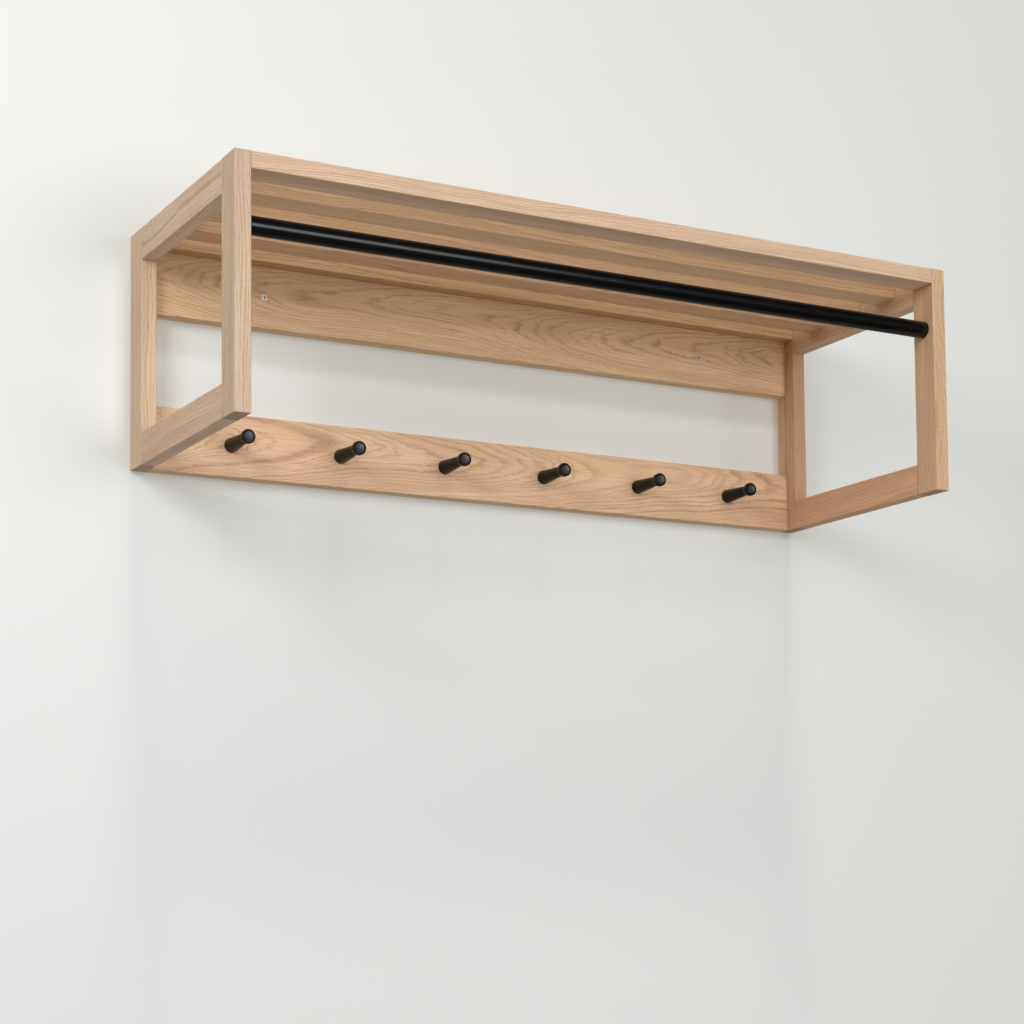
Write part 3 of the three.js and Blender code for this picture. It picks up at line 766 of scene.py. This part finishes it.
def thread_shape(screw, length):
    """A ridge that winds round the shank as a closed strip, and thins towards the point."""
    start = length * (1 - THREAD_SHARE)
    turns = (length - start - THREAD_PITCH) / THREAD_PITCH
    crest = screw["shank"]
    root = crest * THREAD_ROOT * THREAD_SUNK
    half = THREAD_PITCH * THREAD_THICK
    shape = bmesh.new()
    section = [(root, -half), (crest, 0), (root, half)]
    corners = [shape.verts.new((0, start + d, r)) for r, d in section]
    strip = [shape.edges.new((corners[i], corners[(i + 1) % 3])) for i in range(3)]
    steps = int(turns * THREAD_STEPS)
    bmesh.ops.spin(shape, geom=corners + strip, cent=(0, 0, 0), axis=(0, 1, 0), angle=math.tau * turns,
                   dvec=(0, THREAD_PITCH * turns / steps, 0), steps=steps, use_duplicate=False)
    bmesh.ops.holes_fill(shape, edges=[e for e in shape.edges if e.is_boundary], sides=3)
    bmesh.ops.recalc_face_normals(shape, faces=shape.faces)
    for vert in shape.verts:
        left = (length - vert.co.y) / POINT_LENGTH
        if left < 1:
            vert.co.x *= max(left, POINT_LEAST)
            vert.co.z *= max(left, POINT_LEAST)
    return shape


def recess_shape():
    """The cross recess: two bars and a round core that narrow down from the head's face."""
    bars = []
    for wide, thin in ((RECESS_LENGTH, RECESS_WIDTH), (RECESS_WIDTH, RECESS_LENGTH)):
        low = Vector((-wide / 2, -RECESS_DEPTH, -thin / 2))
        shape = block(low, -low)
        for vert in shape.verts:
            share = RECESS_TAPER if vert.co.y > 0 else 2 - RECESS_TAPER
            vert.co.x *= share if wide > thin else 1
            vert.co.z *= share if thin > wide else 1
        bars.append(shape)
    low, high = -RECESS_DEPTH, RECESS_DEPTH + RECESS_CORE_PAST
    core = [(0, low), (RECESS_CORE, low), (RECESS_CORE * RECESS_TAPER, high), (0, high)]
    return bars + [spun(core, (0, 0, 0), (0, 1, 0), RECESS_CORE_STEPS)]


def screw_shape(screw, length):
    """A whole screw with its face at the origin and its point towards +Y."""
    head, sink = screw["head"], screw["sink"]
    shank, root = screw["shank"] * SHANK_PLAIN, screw["shank"] * THREAD_ROOT
    plain = length * (1 - THREAD_SHARE)
    outline = [
        (0, 0),
        (head - HEAD_BREAK, 0),
        (head, SCREW_RIM),
        (shank, sink),
        (shank, plain),
        (root, plain + THREAD_RUN_IN),
        (root, length - POINT_LENGTH),
        (TIP_RADIUS, length),
        (0, length),
    ]
    piece = as_object("screw", [spun(outline, (0, 0, 0), (0, 1, 0), SCREW_STEPS)])
    carve(piece, as_object("thread", [thread_shape(screw, length)]), "UNION")
    for cut in recess_shape():
        carve(piece, as_object("recess", [cut]))
    return piece


screw_zinc = turned_steel("screw_zinc", (400, 400, 400))


def drive(node, screw, towards):
    """Sets a screw where its node is. towards is the way its point goes along Y."""
    low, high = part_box(node)
    middle = (low + high) / 2
    face = low.y if towards > 0 else high.y
    piece = screw_shape(screw, high.y - low.y)
    piece.name = f"steel_{node}"
    if towards < 0:
        piece.data.transform(Matrix.Rotation(math.pi, 4, "X"))
    piece.data.transform(Matrix.Translation((middle.x, face, middle.z)))
    fit(piece, node, screw_zinc)


for node in wall_screws:
    drive(node, WALL_SCREW, 1)
for node in peg_screws:
    drive(node, PEG_SCREW, -1)


# ---------------------------------------------------------------------------------------------
# Where it hangs: a plain pale wall close behind the rack and a plain pale floor under it. Both are
# only a backdrop. They show from the room side alone and throw no light of their own.

WALL_GAP = 0.0012
WALL_REACH = 2.6
WALL_RISE = 3.2
FLOOR_DROP = 1.75
FLOOR_REACH = 14.0
WALL_PAINT = (0.835, 0.845, 0.825, 1)
FLOOR_PAINT = (0.88, 0.87, 0.85, 1)
ROLLER_FINENESS = 260.0
PATCH_FINENESS = 1.3
PATCH_SHADE = 0.985


def backdrop_paint(name, colour):
    """Matt paint with a faint roller texture, seen from its front only."""
    material, tree = new_finish(name)
    coords = add(tree, "TexCoord").outputs["Object"]
    roller = add(tree, "TexNoise", {"Vector": coords, "Scale": ROLLER_FINENESS, "Detail": 3.0})
    patch = add(tree, "TexNoise", {"Vector": coords, "Scale": PATCH_FINENESS, "Detail": 2.0})
    duller = [PATCH_SHADE * level for level in colour[:3]] + [1]
    shade = tint(tree, fade(tree, patch.outputs["Fac"], 0.3, 0.7), colour, duller)
    paint = add(tree, "BsdfPrincipled", {
        "Base Color": shade,
        "Roughness": 0.85,
        "Normal": relief(tree, roller.outputs["Fac"], 0.0002, 0.25),
    })
    behind = add(tree, "NewGeometry").outputs["Backfacing"]
    clear = add(tree, "BsdfTransparent")
    seen = add(tree, "MixShader", {0: behind, 1: paint.outputs["BSDF"], 2: clear.outputs["BSDF"]})
    add(tree, "OutputMaterial", {"Surface": seen.outputs["Shader"]})
    return material


def backdrop(name, corner, first, second, paint):
    """A flat panel from one corner along two sides."""
    shape = bmesh.new()
    corner, first, second = Vector(corner), Vector(first), Vector(second)
    places = (corner, corner + first, corner + first + second, corner + second)
    shape.faces.new([shape.verts.new(place) for place in places])
    panel = as_object(name, [shape])
    panel.data.materials.append(paint)
    panel.visible_diffuse = False
    panel.visible_glossy = False
    panel.visible_shadow = False


wall_paint = backdrop_paint("wall_paint", WALL_PAINT)
floor_paint = backdrop_paint("floor_paint", FLOOR_PAINT)
backdrop("wall", (-WALL_REACH, WALL_GAP, -FLOOR_DROP), (2 * WALL_REACH, 0, 0),
         (0, 0, FLOOR_DROP + WALL_RISE), wall_paint)
backdrop("floor", (-FLOOR_REACH, -FLOOR_REACH, -FLOOR_DROP), (2 * FLOOR_REACH, 0, 0),
         (0, 2 * FLOOR_REACH, 0), floor_paint)


# ---------------------------------------------------------------------------------------------
# Light and camera: a small soft lamp high in front, two wide soft panels in front and to the left,
# and a pale glow that is strongest in front. The camera stands low to the left and looks a little up.

LAMP_ELEVATION = 64.5
LAMP_SPREAD = 8.0
LAMP_STRENGTH = 0.66
LAMP_COLOUR = (1.0, 0.97, 0.93)
PANELS = {
    "front_panel": {"place": (0.6, -3.4, -0.2), "size": 1.6, "power": 34, "colour": (1.0, 0.985, 0.965)},
    "left_panel": {"place": (-2.1, -1.75, 0.6), "size": 1.0, "power": 28, "colour": (0.95, 0.985, 1.0)},
}
PANEL_AIM = (0, 0, -0.1)

# Each patch of the glow is the way towards it and its strength. Behind the wall the glow is even.
GLOW_PATCHES = [
    ((0.26, -0.97, 0.0), 0.96),
    ((-0.19, -0.89, 0.42), 0.78),
    ((0.0, -0.5, -0.87), 0.68),
    ((-0.63, -0.11, 0.77), 0.8),
    ((-0.26, -0.97, 0.0), 0.2),
    ((-0.98, -0.17, 0.1), 0.3),
]
GLOW_FOCUS = 10.0
GLOW_BEHIND = 0.65
GLOW_MIRRORED = 0.3
GLOW_SEEN = (0.8, 0.8, 0.79, 1)
CAMERA_PLACE = (-1.3527, -2.5246, -0.789)
CAMERA_TURN = (94.248, 0.552, -28.724)
CAMERA_LENS = 75.78
CAMERA_SHIFT = 0.24

scene = bpy.context.scene
scene.view_settings.view_transform = "Standard"

lamp_data = bpy.data.lights.new("lamp", "SUN")
lamp_data.energy = LAMP_STRENGTH
lamp_data.angle = math.radians(LAMP_SPREAD)
lamp_data.color = LAMP_COLOUR
lamp = bpy.data.objects.new("lamp", lamp_data)
lamp.rotation_euler = (math.radians(90 - LAMP_ELEVATION), 0, 0)
scene.collection.objects.link(lamp)

for name, panel in PANELS.items():
    panel_data = bpy.data.lights.new(name, "AREA")
    panel_data.size = panel["size"]
    panel_data.energy = panel["power"]
    panel_data.color = panel["colour"]
    light = bpy.data.objects.new(name, panel_data)
    light.location = panel["place"]
    back = Vector(panel["place"]) - Vector(PANEL_AIM)
    light.rotation_euler = back.to_track_quat("Z", "Y").to_euler()
    scene.collection.objects.link(light)

world = bpy.data.worlds.new("glow")
scene.world = world
world.use_nodes = True
tree = world.node_tree
tree.nodes.clear()
way = add(tree, "TexCoord").outputs["Generated"]
behind = add(tree, "SeparateXYZ", {"Vector": way}).outputs["Y"]
glow = fade(tree, behind, -0.02, 0.1, 0.0, GLOW_BEHIND)
for towards, strength in GLOW_PATCHES:
    facing = add(tree, "VectorMath", {0: way, 1: towards}, operation="DOT_PRODUCT").outputs["Value"]
    patch = maths(tree, "POWER", maths(tree, "MAXIMUM", facing, 0.0), GLOW_FOCUS)
    glow = maths(tree, "MULTIPLY_ADD", patch, strength, glow)
light_path = add(tree, "LightPath").outputs
mirrored = fade(tree, light_path["Is Glossy Ray"], 0.0, 1.0, 1.0, GLOW_MIRRORED)
glow = maths(tree, "MULTIPLY", glow, mirrored)
shown = tint(tree, light_path["Is Camera Ray"], glow, GLOW_SEEN)
sky = add(tree, "Background", {"Color": shown, "Strength": 1.0})
add(tree, "OutputWorld", {"Surface": sky.outputs["Background"]})

camera_data = bpy.data.cameras.new("camera")
camera_data.lens = CAMERA_LENS
camera_data.shift_y = CAMERA_SHIFT
camera = bpy.data.objects.new("camera", camera_data)
camera.location = CAMERA_PLACE
camera.rotation_euler = [math.radians(turn) for turn in CAMERA_TURN]
scene.collection.objects.link(camera)
scene.camera = camera
